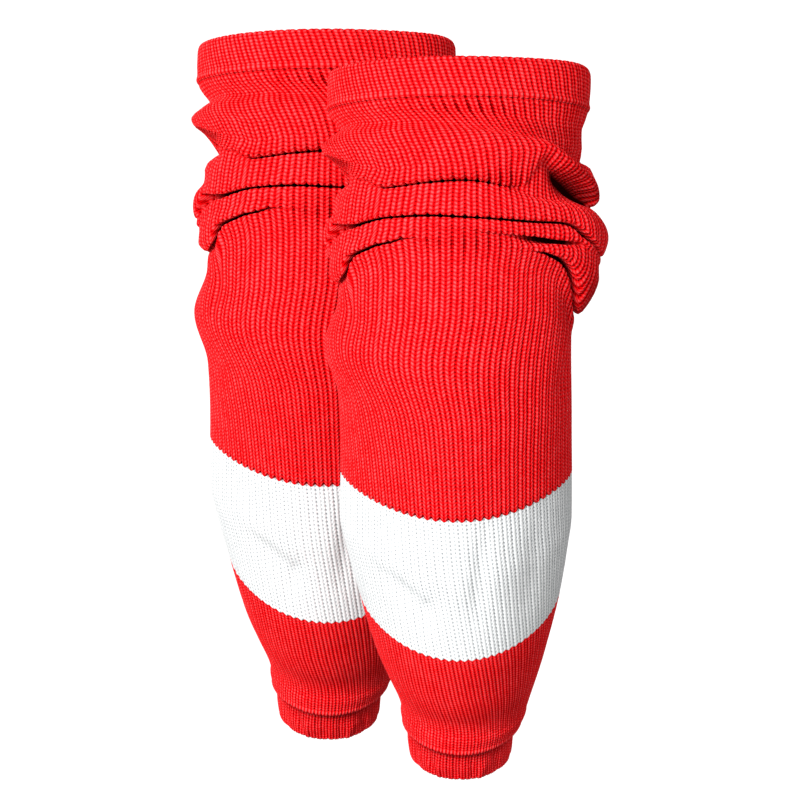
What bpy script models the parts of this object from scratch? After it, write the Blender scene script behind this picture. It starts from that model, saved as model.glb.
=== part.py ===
"""A pair of footless hockey socks in ribbed knit, worn by no one but filled out.

The wearer would face -Y, so the left sock stands at +X and the right sock at -X.
The origin lies midway between the two legs at knee height. Each sock is a hollow
tube of cloth: a hemmed top cuff, an upper leg slouched into three folds, a white
stripe, a lower leg with a hem at the ankle, and a narrow ankle cuff.
Units are metres; the tables are in millimetres and degrees and say so.
"""

import math
from collections import namedtuple

import bmesh
import bpy

MM = 0.001

# ---------------------------------------------------------------- driving sizes

CLOTH_THICKNESS = 2.4 * MM        # one layer of stretched rib knit
HEM_THICKNESS = 3.4 * MM          # two layers, turned and sewn down
SEAM_GAP = 0.3 * MM               # air between two pieces at a seam

RIBS = 34                         # raised ribs round each piece
RIB_HEIGHT = 1.1 * MM             # crest of a rib above the groove beside it
FINE_RIB_HEIGHT = 0.7 * MM        # the tighter rib of the ankle cuff
CREASE_RIB_HEIGHT = 0.2 * MM      # a rib pressed flat inside a crease
OUTER_COLUMNS = 2 * RIBS          # one column of points on each crest and groove
INNER_STEP = 2                    # outer columns for one column on the plain inside

# Where each sock stands: the axis of its leg at knee height
Sock = namedtuple("Sock", "side x y")
SOCKS = (
    Sock("left", 47.0 * MM, -85.5 * MM),
    Sock("right", -47.0 * MM, 85.5 * MM),
)

# Levels of the seams, in millimetres above the knee, measured on the leg's axis
RIM_LEVEL = 186.5
TOP_SEAM_LEVEL = 160.0
STRIPE_TOP_LEVEL = -91.5
STRIPE_BOTTOM_LEVEL = -178.0
HEM_TOP_LEVEL = -277.5
ANKLE_SEAM_LEVEL = -289.5
SOCK_END_LEVEL = -302.0

# The leg inside the cloth. Millimetres and degrees. shift is the section's centre
# to +X, back is its centre to +Y, tilt lowers the section's front (-Y) side, and
# droop lowers its front and back below its two sides.
Section = namedtuple("Section", "level shift back half_width half_depth tilt droop")
LEG = (
    #        level  shift  back  half_width  half_depth  tilt  droop
    Section(186.5,  0.2,   35.0, 91.0,       80.0,      -15.5,  0.0),
    Section(160.0, -0.6,   29.0, 90.5,       80.0,      -14.5,  0.0),
    Section(147.5,  0.6,   26.0, 85.5,       76.0,      -14.0,  0.0),
    Section(134.0,  2.4,   22.6, 83.8,       74.5,      -13.3,  0.0),
    Section(113.4,  2.6,   18.7, 79.5,       72.0,      -12.0,  0.0),
    Section(88.0,   0.8,   13.0, 79.5,       72.0,       -9.0,  0.0),
    Section(57.0,  -0.9,    6.0, 79.8,       73.5,       -5.0,  0.0),
    Section(30.0,  -3.0,    1.0, 81.4,       76.0,       -1.5,  1.0),
    Section(0.0,   -7.9,    0.0, 86.1,       80.0,        2.0,  5.0),
    Section(-36.0, -3.0,    4.3, 81.5,       78.0,        3.0, 11.0),
    Section(-70.0, -2.1,   13.4, 80.9,       77.0,        4.0, 17.0),
    Section(-91.5, -2.0,   19.3, 81.1,       76.5,        5.0, 19.0),
    Section(-123.5, -2.3,  27.7, 81.5,       75.5,       12.0, 18.0),
    Section(-144.4, -1.8,  33.3, 78.6,       72.5,       17.0, 17.0),
    Section(-180.5, 0.0,   43.0, 70.8,       68.0,       24.0, 15.4),
    Section(-215.4, 0.5,   52.4, 62.0,       60.0,       23.0, 10.0),
    Section(-238.3, 1.6,   58.5, 55.0,       54.0,       20.0,  7.0),
    Section(-261.2, 2.6,   64.6, 47.6,       46.5,       16.0,  4.0),
    Section(-289.5, 1.0,   72.5, 38.8,       38.0,       13.0,  2.5),
    Section(-302.0, 1.4,   75.8, 35.8,       35.0,       24.0,  1.0),
)

# The folds of the slouched upper leg, a row for each bearing round the leg:
# 0 is the front, 90 the wearer's left (+X). Levels and distances in millimetres.
# nose is the roll's most outward point, tuck is the bottom of the crease under it,
# hang is how far the roll's lip droops below that crease, or stays above it where
# negative, and full is how round the underside is, from 0, a wedge, to 1, square.
Fold = namedtuple("Fold", "bearing crest nose nose_out tuck tuck_out hang full")
TOP_FOLD = (
    #     bearing crest  nose  nose_out tuck  tuck_out hang full
    Fold(-135.0, 142.0, 130.0, 14.0, 112.0, 2.0, 2.0, 0.6),
    Fold(-90.0, 143.0, 136.0, 18.5, 114.0, 0.5, 2.0, 0.4),
    Fold(-60.0, 142.0, 131.0, 16.0, 113.0, 0.5, 3.0, 0.7),
    Fold(-30.0, 140.0, 127.0, 13.0, 107.0, 1.0, 4.0, 0.8),
    Fold(0.0, 138.0, 125.0, 12.5, 110.0, 0.5, 4.5, 0.85),
    Fold(30.0, 136.0, 121.0, 12.5, 106.0, 7.0, 1.0, 0.7),
    Fold(60.0, 130.0, 116.0, 12.5, 104.0, 4.5, 0.5, 0.6),
    Fold(90.0, 122.0, 102.0, 16.5, 93.5, 10.5, 1.0, 0.6),
    Fold(135.0, 132.0, 112.0, 14.0, 98.0, 4.0, 2.0, 0.6),
    Fold(180.0, 138.0, 120.0, 12.0, 104.0, 2.0, 3.0, 0.7),
)
MIDDLE_FOLD = (
    Fold(-135.0, 104.0, 82.0, 13.0, 64.0, 3.0, 2.0, 0.6),
    Fold(-90.0, 106.0, 77.0, 14.5, 62.0, 9.0, 1.0, 0.6),
    Fold(-60.0, 106.0, 95.0, 10.0, 82.0, 2.0, 2.5, 0.7),
    Fold(-30.0, 102.0, 97.0, 9.5, 89.0, 1.0, 3.0, 0.8),
    Fold(0.0, 104.0, 97.0, 9.5, 87.5, 0.5, 3.0, 0.85),
    Fold(30.0, 103.0, 96.0, 11.5, 86.5, 1.0, 3.0, 0.85),
    Fold(60.0, 102.0, 95.0, 13.0, 82.5, 3.5, 2.5, 0.75),
    Fold(90.0, 88.0, 74.0, 24.0, 57.0, 18.0, 0.5, 0.5),
    Fold(135.0, 92.0, 78.0, 16.0, 62.0, 4.0, 2.0, 0.6),
    Fold(180.0, 98.0, 84.0, 12.0, 70.0, 2.0, 2.5, 0.7),
)
LOW_FOLD = (
    Fold(-135.0, 58.0, 50.0, 9.0, 36.0, 0.5, 1.5, 0.5),
    Fold(-90.0, 58.0, 49.0, 9.0, 37.0, 0.0, 1.0, 0.5),
    Fold(-60.0, 76.0, 66.0, 9.0, 53.0, 0.5, 1.5, 0.75),
    Fold(-30.0, 84.0, 79.0, 5.5, 72.0, 0.5, 1.5, 0.8),
    Fold(0.0, 80.0, 74.0, 3.5, 60.0, 0.5, -5.0, 0.5),
    Fold(30.0, 80.0, 72.0, 4.5, 59.0, 0.5, -4.0, 0.5),
    Fold(60.0, 74.0, 56.0, 13.0, 36.0, 0.5, 2.0, 0.7),
    Fold(90.0, 52.0, 42.0, 18.0, 21.0, 0.5, 2.0, 0.4),
    Fold(135.0, 58.0, 46.0, 13.0, 30.0, 0.5, 2.0, 0.5),
    Fold(180.0, 66.0, 54.0, 9.0, 38.0, 0.5, 1.5, 0.5),
)
NECK_ABOVE_CREST = 6.0            # millimetres from the narrow neck down to the top roll
CREASE_AIR = 2.0                  # millimetres between a lip and the cloth under it
LEG_BELOW_LIP = 6.0               # millimetres from the lowest lip to the leg's cloth
KNEE_LEVELS = (2.0, -22.0, -56.0)
CREST_SHARE = 0.5                 # a roll's swell at its crest, as a share of its nose
FACE_SHARE = 0.72                 # its swell half way from the crest to the nose
UNDER_DROP = 0.55                 # how far down the underside's turn is, nose to lip
UNDER_SHARE = 0.55                # the swell at that turn of a wedge's underside

# A row of points round a piece: level and out in millimetres, rib in metres.
# At a crease the cloth turns back on itself.
Row = namedtuple("Row", "level out rib crease", defaults=(False,))
CREASE_TURN = 0.8                 # millimetres of cloth on each side of that turn


# ---------------------------------------------------------------- smooth tables

def smooth(x, xs, ys):
    """Value at x of a curve through the rows (xs, ys) that never overshoots them."""
    if x <= xs[0]:
        return ys[0]
    if x >= xs[-1]:
        return ys[-1]
    i = next(k for k in range(len(xs) - 1) if x < xs[k + 1])

    def chord(k):
        return (ys[k + 1] - ys[k]) / (xs[k + 1] - xs[k])

    def slope(k):
        if k == 0 or k == len(xs) - 1:
            return 0.0
        before, after = chord(k - 1), chord(k)
        if before * after <= 0.0:
            return 0.0
        return 2.0 * before * after / (before + after)

    width = xs[i + 1] - xs[i]
    t = (x - xs[i]) / width
    rise = t * t * (3.0 - 2.0 * t)
    leave = t * (1.0 - t) ** 2 * width * slope(i)
    arrive = t * t * (1.0 - t) * width * slope(i + 1)
    return ys[i] + (ys[i + 1] - ys[i]) * rise + leave - arrive


def leg_section(level):
    """The leg's section at a level, in millimetres and degrees."""
    rows = LEG[::-1]
    levels = [row.level for row in rows]
    values = [smooth(level, levels, [getattr(row, name) for row in rows])
              for name in Section._fields[1:]]
    return Section(level, *values)


def fold_at(table, bearing):
    """One fold's sizes at a bearing in degrees, smooth all the way round."""
    wrapped = [table[-1]._replace(bearing=table[-1].bearing - 360.0)]
    wrapped.extend(table)
    wrapped.append(table[0]._replace(bearing=table[0].bearing + 360.0))
    bearings = [row.bearing for row in wrapped]
    values = [smooth(bearing, bearings, [getattr(row, name) for row in wrapped])
              for name in Fold._fields[1:]]
    return Fold(bearing, *values)


# ---------------------------------------------------------------- cloth surface

def cloth_point(level, bearing, out):
    """A point of the cloth, out millimetres outside the leg's section, in metres."""
    section = leg_section(level)
    angle = math.radians(bearing)
    tilt = math.radians(section.tilt)
    across = (section.half_width + out) * math.sin(angle)
    forward = (section.half_depth + out) * math.cos(angle)
    droop = section.droop * math.cos(angle) ** 2
    return ((section.shift + across) * MM,
            (section.back - forward * math.cos(tilt)) * MM,
            (level - forward * math.sin(tilt) - droop) * MM)


def fold_rows(bearing):
    """The rows of the upper leg at a bearing, from the top seam to the stripe."""
    folds = [fold_at(table, bearing) for table in (TOP_FOLD, MIDDLE_FOLD, LOW_FOLD)]
    neck_level = folds[0].crest + NECK_ABOVE_CREST
    rows = [Row(TOP_SEAM_LEVEL, 0.0, RIB_HEIGHT), Row(neck_level, -0.8, RIB_HEIGHT)]
    roof = neck_level
    lip_out = 0.0
    for fold in folds:
        start = min(fold.crest, roof - CREASE_AIR)
        start_out = min(max(lip_out, CREST_SHARE * fold.nose_out), fold.nose_out)
        face_out = start_out + (fold.nose_out - start_out) * FACE_SHARE
        swell = fold.nose_out - fold.tuck_out
        lip_level = fold.tuck - fold.hang
        under_level = fold.nose + (lip_level - fold.nose) * UNDER_DROP
        under_out = fold.tuck_out + swell * (UNDER_SHARE + (1.0 - UNDER_SHARE) * fold.full)
        lip_out = fold.tuck_out + swell * fold.full
        rows.append(Row(start, start_out, RIB_HEIGHT))
        rows.append(Row(0.5 * (start + fold.nose), face_out, RIB_HEIGHT))
        rows.append(Row(fold.nose, fold.nose_out, RIB_HEIGHT))
        rows.append(Row(under_level, under_out, RIB_HEIGHT))
        rows.append(Row(lip_level, lip_out, 0.5 * RIB_HEIGHT))
        rows.append(Row(fold.tuck, fold.tuck_out, CREASE_RIB_HEIGHT, crease=True))
        roof = min(lip_level, fold.tuck)
    rows.append(Row(roof - LEG_BELOW_LIP, 0.3, RIB_HEIGHT))
    rows.extend(Row(level, 0.0, RIB_HEIGHT) for level in KNEE_LEVELS)
    rows.append(Row(STRIPE_TOP_LEVEL, 0.0, RIB_HEIGHT))
    return rows


def top_cuff_rows(_bearing):
    """The hemmed rim, rounded over at the top and a little proud of the leg."""
    return [Row(RIM_LEVEL, -2.0, 0.4 * RIB_HEIGHT),
            Row(RIM_LEVEL - 2.4, 0.4, RIB_HEIGHT),
            Row(RIM_LEVEL - 13.0, 1.0, RIB_HEIGHT),
            Row(TOP_SEAM_LEVEL + SEAM_GAP / MM, 0.9, RIB_HEIGHT)]


def stripe_rows(_bearing):
    """The white stripe, a plain stretch of the tube."""
    top = STRIPE_TOP_LEVEL - SEAM_GAP / MM
    return [Row(top, 0.0, RIB_HEIGHT),
            Row(0.5 * (STRIPE_TOP_LEVEL + STRIPE_BOTTOM_LEVEL), 0.0, RIB_HEIGHT),
            Row(STRIPE_BOTTOM_LEVEL, 0.0, RIB_HEIGHT)]


def lower_leg_rows(_bearing):
    """The tube below the stripe, ending in the thicker hem at the ankle."""
    top = STRIPE_BOTTOM_LEVEL - SEAM_GAP / MM
    return [Row(top, 0.0, RIB_HEIGHT),
            Row(0.5 * (top + HEM_TOP_LEVEL), 0.0, RIB_HEIGHT),
            Row(HEM_TOP_LEVEL + 2.0, 0.0, RIB_HEIGHT),
            Row(HEM_TOP_LEVEL - 2.0, 1.4, RIB_HEIGHT),
            Row(ANKLE_SEAM_LEVEL, 1.0, RIB_HEIGHT)]


def ankle_cuff_rows(_bearing):
    """The narrow cuff that shows under the ankle hem."""
    top = ANKLE_SEAM_LEVEL - SEAM_GAP / MM
    return [Row(top, -0.8, FINE_RIB_HEIGHT),
            Row(0.5 * (top + SOCK_END_LEVEL), 0.0, FINE_RIB_HEIGHT),
            Row(SOCK_END_LEVEL, -0.3, FINE_RIB_HEIGHT)]


# ---------------------------------------------------------------- solids

def wrap(bearing):
    """A bearing brought into the folds' tables, from -135 to 225 degrees."""
    return bearing + 360.0 if bearing < -135.0 else bearing


def outer_point(row, bearing, column):
    """A point of the outer wall, raised on a rib's crest and sunk in its groove."""
    side = 0.5 if column % 2 == 0 else -0.5
    return cloth_point(row.level, bearing, row.out + side * row.rib / MM)


def heading(start, end):
    """Unit direction from one row to the next, as (level, out)."""
    rise, swell = end.level - start.level, end.out - start.out
    length = math.hypot(rise, swell)
    return rise / length, swell / length


def inner_rows(rows, thickness):
    """The (level, out) of the wall's inside, one row's thickness in from the outside.

    The cut edges stay square to the leg, and a crease gets three rows, so that the
    cloth keeps its thickness where it turns back on itself.
    """
    depth = thickness / MM
    inside = [(rows[0].level, rows[0].out - depth)]
    for before, row, after in zip(rows, rows[1:], rows[2:]):
        arrive, leave = heading(before, row), heading(row, after)
        normals = ((-arrive[1], arrive[0]), (-leave[1], leave[0]))
        middle = [a + b for a, b in zip(*normals)]
        size = math.hypot(*middle)
        turn = (row.level + depth * middle[0] / size, row.out + depth * middle[1] / size)
        if not row.crease:
            inside.append(turn)
            continue
        inside.append((row.level + depth * normals[0][0] - CREASE_TURN * arrive[0],
                       row.out + depth * normals[0][1] - CREASE_TURN * arrive[1]))
        inside.append(turn)
        inside.append((row.level + depth * normals[1][0] + CREASE_TURN * leave[0],
                       row.out + depth * normals[1][1] + CREASE_TURN * leave[1]))
    inside.append((rows[-1].level, rows[-1].out - depth))
    return inside


def cloth_wall(name, rows_at, thickness, material, origin):
    """One closed tube of cloth: ribbed outside, plain inside, open at both ends."""
    mesh = bmesh.new()
    bearings = [360.0 * k / OUTER_COLUMNS - 180.0 for k in range(OUTER_COLUMNS)]
    stacks = [rows_at(wrap(bearing)) for bearing in bearings]
    outer = [[mesh.verts.new(outer_point(row, bearings[c], c))
              for c, row in enumerate(ring)] for ring in zip(*stacks)]
    linings = [inner_rows(stack, thickness) for stack in stacks[::INNER_STEP]]
    inner = [[mesh.verts.new(cloth_point(level, bearing, out))
              for bearing, (level, out) in zip(bearings[::INNER_STEP], ring)]
             for ring in zip(*linings)]
    for rings in (outer, inner):
        for upper, lower in zip(rings, rings[1:]):
            join_rings(mesh, upper, lower)
    for r in (0, -1):
        close_edge(mesh, outer[r], inner[r])
    bmesh.ops.recalc_face_normals(mesh, faces=mesh.faces)
    bmesh.ops.translate(mesh, verts=mesh.verts, vec=origin)
    data = bpy.data.meshes.new(name)
    mesh.to_mesh(data)
    mesh.free()
    data.materials.append(material)
    piece = bpy.data.objects.new(name, data)
    bpy.context.scene.collection.objects.link(piece)
    return piece


def join_rings(mesh, upper, lower):
    """Faces between two rings with the same number of points."""
    for c in range(len(upper)):
        d = (c + 1) % len(upper)
        mesh.faces.new((upper[c], lower[c], lower[d], upper[d]))


def close_edge(mesh, outer_ring, inner_ring):
    """Join an outer ring to the coarser inner ring across the cloth's cut edge."""
    for c, near in enumerate(inner_ring):
        after = inner_ring[(c + 1) % len(inner_ring)]
        fan = [outer_ring[(c * INNER_STEP + k) % len(outer_ring)]
               for k in range(INNER_STEP + 1)]
        for a, b in zip(fan, fan[1:]):
            mesh.faces.new((near, a, b))
        mesh.faces.new((near, fan[-1], after))


# ---------------------------------------------------------------- finishes

def knit_finish(name, colour):
    """A matt yarn finish in one colour."""
    material = bpy.data.materials.new(name)
    material.use_nodes = True
    shader = material.node_tree.nodes["Principled BSDF"]
    shader.inputs["Base Color"].default_value = (*colour, 1.0)
    shader.inputs["Roughness"].default_value = 0.85
    shader.inputs["Metallic"].default_value = 0.0
    return material


def clear_scene():
    """Remove whatever the opened file holds."""
    for item in list(bpy.data.objects):
        bpy.data.objects.remove(item, do_unlink=True)


def build_sock(sock, red, white):
    """The five pieces of one sock, from the rim down."""
    origin = (sock.x, sock.y, 0.0)
    pieces = (
        ("top_cuff", top_cuff_rows, HEM_THICKNESS, red),
        ("upper_leg", fold_rows, CLOTH_THICKNESS, red),
        ("stripe", stripe_rows, CLOTH_THICKNESS, white),
        ("lower_leg", lower_leg_rows, CLOTH_THICKNESS, red),
        ("ankle_cuff", ankle_cuff_rows, CLOTH_THICKNESS, red),
    )
    for name, rows_at, thickness, material in pieces:
        cloth_wall(f"{sock.side}_{name}", rows_at, thickness, material, origin)


def main():
    """Build both socks."""
    clear_scene()
    red = knit_finish("red_knit", (0.80, 0.02, 0.03))
    white = knit_finish("white_knit", (0.86, 0.87, 0.87))
    for sock in SOCKS:
        build_sock(sock, red, white)


main()
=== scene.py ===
"""Looks for a pair of footless hockey socks in ribbed knit, filled out as worn.

The wearer would face -Y, so the left sock stands at +X. Each sock is a tube of
knitted cloth in five pieces, from the rim down: a hemmed top cuff, an upper leg
slouched into folds, a white stripe, a lower leg with an ankle hem, and a narrow
ankle cuff. Every piece starts as a flat grid, one column for each share of a rib
and one row for each share of a course, and is then wrapped round the leg, folded
and closed along the back, as the real cloth is.

Sizes are in millimetres and degrees where they say so, and in metres otherwise.
"""

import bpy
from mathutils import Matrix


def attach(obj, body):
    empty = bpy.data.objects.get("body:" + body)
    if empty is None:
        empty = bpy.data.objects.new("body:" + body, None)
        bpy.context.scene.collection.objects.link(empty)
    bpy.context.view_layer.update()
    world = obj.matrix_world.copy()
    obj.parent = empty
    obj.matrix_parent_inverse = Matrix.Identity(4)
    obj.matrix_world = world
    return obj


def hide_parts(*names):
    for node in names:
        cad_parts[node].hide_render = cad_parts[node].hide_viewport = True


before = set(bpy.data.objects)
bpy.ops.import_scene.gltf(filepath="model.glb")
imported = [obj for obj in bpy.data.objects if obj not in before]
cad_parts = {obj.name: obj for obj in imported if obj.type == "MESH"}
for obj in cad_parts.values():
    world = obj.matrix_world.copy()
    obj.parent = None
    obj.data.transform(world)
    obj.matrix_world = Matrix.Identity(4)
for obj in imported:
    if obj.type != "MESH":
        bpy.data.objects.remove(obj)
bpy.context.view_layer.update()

import logging
import math
from dataclasses import astuple, dataclass, field, fields
from enum import Enum

import bmesh
import bpy
import numpy as np
from mathutils import Matrix, Vector

MM = 0.001
TURN = 360.0                 # degrees
TINY = 1e-6                  # the least length that is divided by
WELD = 1e-7                  # metres between points that become one
Array = np.ndarray
Number = float | Array
Pair = tuple[float, float]
Triple = tuple[float, float, float]
Socket = bpy.types.NodeSocket
log = logging.getLogger("hockey_socks")


# --- options

class Side(Enum):
    """Which leg a sock is worn on."""

    LEFT = "left"
    RIGHT = "right"


class Yarn(Enum):
    """The yarn that a piece is knitted in, named as the record's material slot."""

    RED = "red_knit"
    WHITE = "white_knit"


# --- smooth tables

def smooth(x: Array, xs: Array, ys: Array) -> Array:
    """Read a curve through table rows that never overshoots them.

    Args:
        x: Where to read the curve.
        xs: The rows' places, rising.
        ys: The rows' values.

    Returns:
        The curve's values at x, level beyond the first and last row.
    """
    chord = np.diff(ys) / np.diff(xs)
    slope = np.zeros(len(ys))
    before, after = chord[:-1], chord[1:]
    same = before * after > 0.0
    slope[1:-1][same] = 2.0 * before[same] * after[same] / (before[same] + after[same])
    x = np.clip(x, xs[0], xs[-1])
    i = np.clip(np.searchsorted(xs, x, side="right") - 1, 0, len(xs) - 2)
    width = xs[i + 1] - xs[i]
    t = (x - xs[i]) / width
    rise = (ys[i + 1] - ys[i]) * t * t * (3.0 - 2.0 * t)
    leave = t * (1.0 - t) ** 2 * width * slope[i]
    arrive = t * t * (1.0 - t) * width * slope[i + 1]
    return ys[i] + rise + leave - arrive


def smooth_round(bearing: Array, xs: Array, ys: Array) -> Array:
    """Read a table of bearings as a curve that closes on itself.

    Args:
        bearing: Where to read it, in degrees, of any turn.
        xs: The rows' bearings, rising, within one turn.
        ys: The rows' values.

    Returns:
        The curve's values at the bearings.
    """
    wrapped = (bearing - xs[0]) % TURN + xs[0]
    around = np.concatenate((xs[-2:] - TURN, xs, xs[:2] + TURN))
    values = np.concatenate((ys[-2:], ys, ys[:2]))
    return smooth(wrapped, around, values)


def table_of(kind: type, *rows: tuple) -> tuple:
    """Make one object of a dataclass from each row of plain values."""
    return tuple(kind(*row) for row in rows)


def columns_of(table: tuple) -> dict[str, Array]:
    """Turn a table into one array for each named column.

    Args:
        table: The rows, all of one dataclass.

    Returns:
        The values of each field down the table, under the field's name.
    """
    names = [item.name for item in fields(table[0])]
    values = np.array([astuple(row) for row in table], float)
    return dict(zip(names, values.T))


# --- the leg

@dataclass(frozen=True)
class Section:
    """The leg's section at a level. Millimetres, and degrees for tilt.

    shift is the section's centre to +X, back is its centre to +Y, tilt lowers its
    front, and droop lowers its front and back below its two sides.
    """

    level: float
    shift: float
    back: float
    half_width: float
    half_depth: float
    tilt: float
    droop: float


@dataclass(frozen=True)
class Leg:
    """The form that fills a sock, as sections from the ankle up."""

    sections: tuple[Section, ...] = table_of(
        Section,
        # level, shift, back, half_width, half_depth, tilt, droop
        (-302, 1.4, 75.8, 35.8, 35, 24, 1),
        (-289.5, 1.2, 72.5, 37.8, 38, 20, 5.5),
        (-261.2, 4, 64.6, 46.3, 46.5, 16, 4),
        (-238.3, 2.8, 58.5, 53.9, 54, 20, 7),
        (-215.4, 1.4, 52.4, 61.1, 60, 23, 10),
        (-180.5, 0.6, 43, 70.2, 68, 24, 15.4),
        (-144.4, -1.4, 33.3, 78.2, 72.5, 17, 17),
        (-123.5, -2.3, 27.7, 81.5, 75.5, 12, 18),
        (-91.5, -2, 19.3, 81.1, 76.5, 5, 19),
        (-70, -2.1, 13.4, 80.9, 77, 4, 17),
        (-36, -3, 4.3, 81.5, 78, 3, 11),
        (0, -7.9, 0, 86.1, 80, 2, 5),
        (30, -3, 1, 81.4, 76, -1.5, 1),
        (57, -0.9, 6, 79.8, 73.5, -5, 0),
        (88, 0.8, 13, 79.5, 72, -9, 0),
        (113.4, 2.6, 18.7, 79.5, 72, -12, 0),
        (134, 2.4, 22.6, 83.8, 74.5, -13.3, 0),
        (147.5, 0.6, 26, 85.5, 76, -14, 0),
        (160, -0.6, 29, 90.5, 80, -14.5, 0),
        (186.5, 0.2, 35, 91, 80, -15.5, 0),
    )

    def point(self, level: Array, bearing: Array, out: Array) -> Array:
        """Place points of cloth round the leg.

        Args:
            level: Height above the knee, in millimetres.
            bearing: Degrees round the leg, 0 in front and 90 on the wearer's left.
            out: Millimetres outside the leg's section.

        Returns:
            The points, in metres, with a last axis of x, y and z.
        """
        rows = columns_of(self.sections)
        at = {name: smooth(level, rows["level"], rows[name]) for name in rows}
        angle = np.radians(bearing)
        tilt = np.radians(at["tilt"])
        across = (at["half_width"] + out) * np.sin(angle)
        forward = (at["half_depth"] + out) * np.cos(angle)
        x = at["shift"] + across
        y = at["back"] - forward * np.cos(tilt)
        z = level - forward * np.sin(tilt) - at["droop"] * np.cos(angle) ** 2
        return np.stack((x, y, z), axis=-1) * MM


# --- knit

@dataclass(frozen=True)
class Spread:
    """How the ribs are spread round the leg at a level.

    ribs is how many there are in a whole turn, crowd is how much closer they lie in
    front than at the sides, and left, front, right and back say how many degrees they
    have turned towards the wearer's left there.
    """

    level: float
    ribs: float
    crowd: float
    left: float
    front: float
    right: float
    back: float


SPREADS: tuple[Spread, ...] = table_of(
    Spread,
    # level, ribs, crowd, left, front, right, back
    (-302, 57, -0.02, 14, 19, 12, 8),
    (-289.5, 57, -0.02, 14, 19, 12, 8),
    (-261, 59, 0.02, 12, 15.5, 9, 7),
    (-215, 62, 0.1, 8, 9, 5, 5),
    (-180, 66, 0.13, 6, 5, 3, 4),
    (-144, 69, 0.16, 3, 1, 1, 2),
    (-91.5, 70, 0.18, -1, -4, -2, 0),
    (-36, 70, 0.12, -6, -6, -3, -2),
    (0, 70, 0.02, -11, -7.5, -4, -3),
    (40, 70, -0.07, -16, -8.5, -5, -4),
    (66, 70, -0.06, -20, -9.5, -5, -4),
    (84, 70, -0.06, -17, -9.5, -7, -4),
    (106, 70, -0.04, -17, -9.5, -10, -4),
    (118, 70, -0.03, -8, -10.5, -9, -4),
    (127, 70, -0.03, -12, -12.5, -8, -4),
    (138, 70, -0.02, -20, -16, -9, -5),
    (158, 70, -0.02, -25, -24, -22, -8),
    (160.5, 70, -0.02, -25, -24, -22, -8),
    (186.5, 70, -0.02, -31, -30, -27, -12),
)
SIDE_BEARING = 60.0          # where the left and right turns of a Spread are told
BEARING_ROUNDS = 8           # enough to find a rib's bearing exactly
DEEP_WIDTH = 0.13            # half the width of the groove between ribs, in ribs
SHALLOW_WIDTH = 0.10         # the same for the groove down the middle of a rib
SHALLOW_DEPTH = 0.26         # and its depth as a share of the rib's height


def spread_at(level: float) -> dict[str, float]:
    """Read the table of spreads at one level, given in millimetres."""
    rows = columns_of(SPREADS)
    return {name: float(smooth(np.array([level]), rows["level"], rows[name])[0]) for name in rows}


def bearings_of(ribs: Array, level: float) -> Array:
    """Find where ribs lie round the leg.

    Args:
        ribs: Ribs counted from the front, minus to the wearer's right.
        level: The row's usual height above the knee, in millimetres.

    Returns:
        Their bearings in degrees.
    """
    at = spread_at(level)
    goal = ribs * 2.0 * math.pi / at["ribs"]
    angle = goal.copy()
    for _ in range(BEARING_ROUNDS):
        angle -= (angle + at["crowd"] * np.sin(angle) - goal) / (1.0 + at["crowd"] * np.cos(angle))
    turned = np.array([at[name] for name in ("back", "left", "front", "right", "back")])
    places = np.array([-TURN / 2, -SIDE_BEARING, 0.0, SIDE_BEARING, TURN / 2])
    bearing = np.degrees(angle)
    return bearing + smooth(bearing, places, turned)


def rib_relief(ribs: Array) -> Array:
    """Find the height of the ribs' cross-section.

    Each rib has two columns of stitches with a shallow groove between them.

    Args:
        ribs: Places across the ribs, whole numbers in the deep grooves.

    Returns:
        The heights there, from 0 in a deep groove to 1 on a crest.
    """
    phase = ribs - np.floor(ribs)
    from_groove = np.minimum(phase, 1.0 - phase)
    body = 1.0 - np.exp(-(from_groove / DEEP_WIDTH) ** 2)
    return body - SHALLOW_DEPTH * np.exp(-((from_groove - 0.5) / SHALLOW_WIDTH) ** 2)


def rib_teeth(ribs: Array) -> Array:
    """The zigzag of a colour change: -1 on a rib, where the upper yarn hangs, to 1 in a groove."""
    phase = ribs - np.floor(ribs)
    return 4.0 * np.abs(phase - 0.5) - 1.0


# --- a piece's rows

@dataclass
class Rows:
    """Control rows of a piece, from its upper edge down, one value for each column.

    flat is a row of noughts, as long as the rows. creases says where the cloth turns
    back on itself.
    """

    flat: Array
    lines: list[dict[str, Array]] = field(default_factory=list)
    creases: list[bool] = field(default_factory=list)

    def add(self, level: Number, out: Number, rib: Number, shade: Number = 0.0,
            link: float = 0.0, crease: bool = False) -> None:
        """Add one control row below the others.

        Args:
            level: Its height above the knee, in millimetres.
            out: How far it lies outside the leg's section, in millimetres.
            rib: The height of its ribs, in millimetres.
            shade: How much painted shade darkens it, for lying deep in a crease, from 0 to 1.
            link: How much it is a row of linking stitches, from 0 to 1.
            crease: Whether the cloth turns back on itself there.
        """
        line = {"level": level, "out": out, "rib": rib, "shade": shade, "link": link}
        self.lines.append({name: value + self.flat for name, value in line.items()})
        self.creases.append(crease)


@dataclass(frozen=True)
class Ring:
    """A control row that is the same all round the leg, with its values as Rows.add has them."""

    level: float
    out: float
    rib: float
    shade: float = 0.0
    link: float = 0.0


@dataclass(frozen=True)
class Cloth:
    """A piece's closed wall, point by point, and what its finish reads there.

    The rings run from the outer top down, under the lower edge, up the inside and
    back to the outer top. maps holds two axes for each UV map.
    """

    points: Array
    maps: dict[str, tuple[Array, Array]]


LEAST_GAP = 0.05             # millimetres between control rows, for the curve


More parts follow.
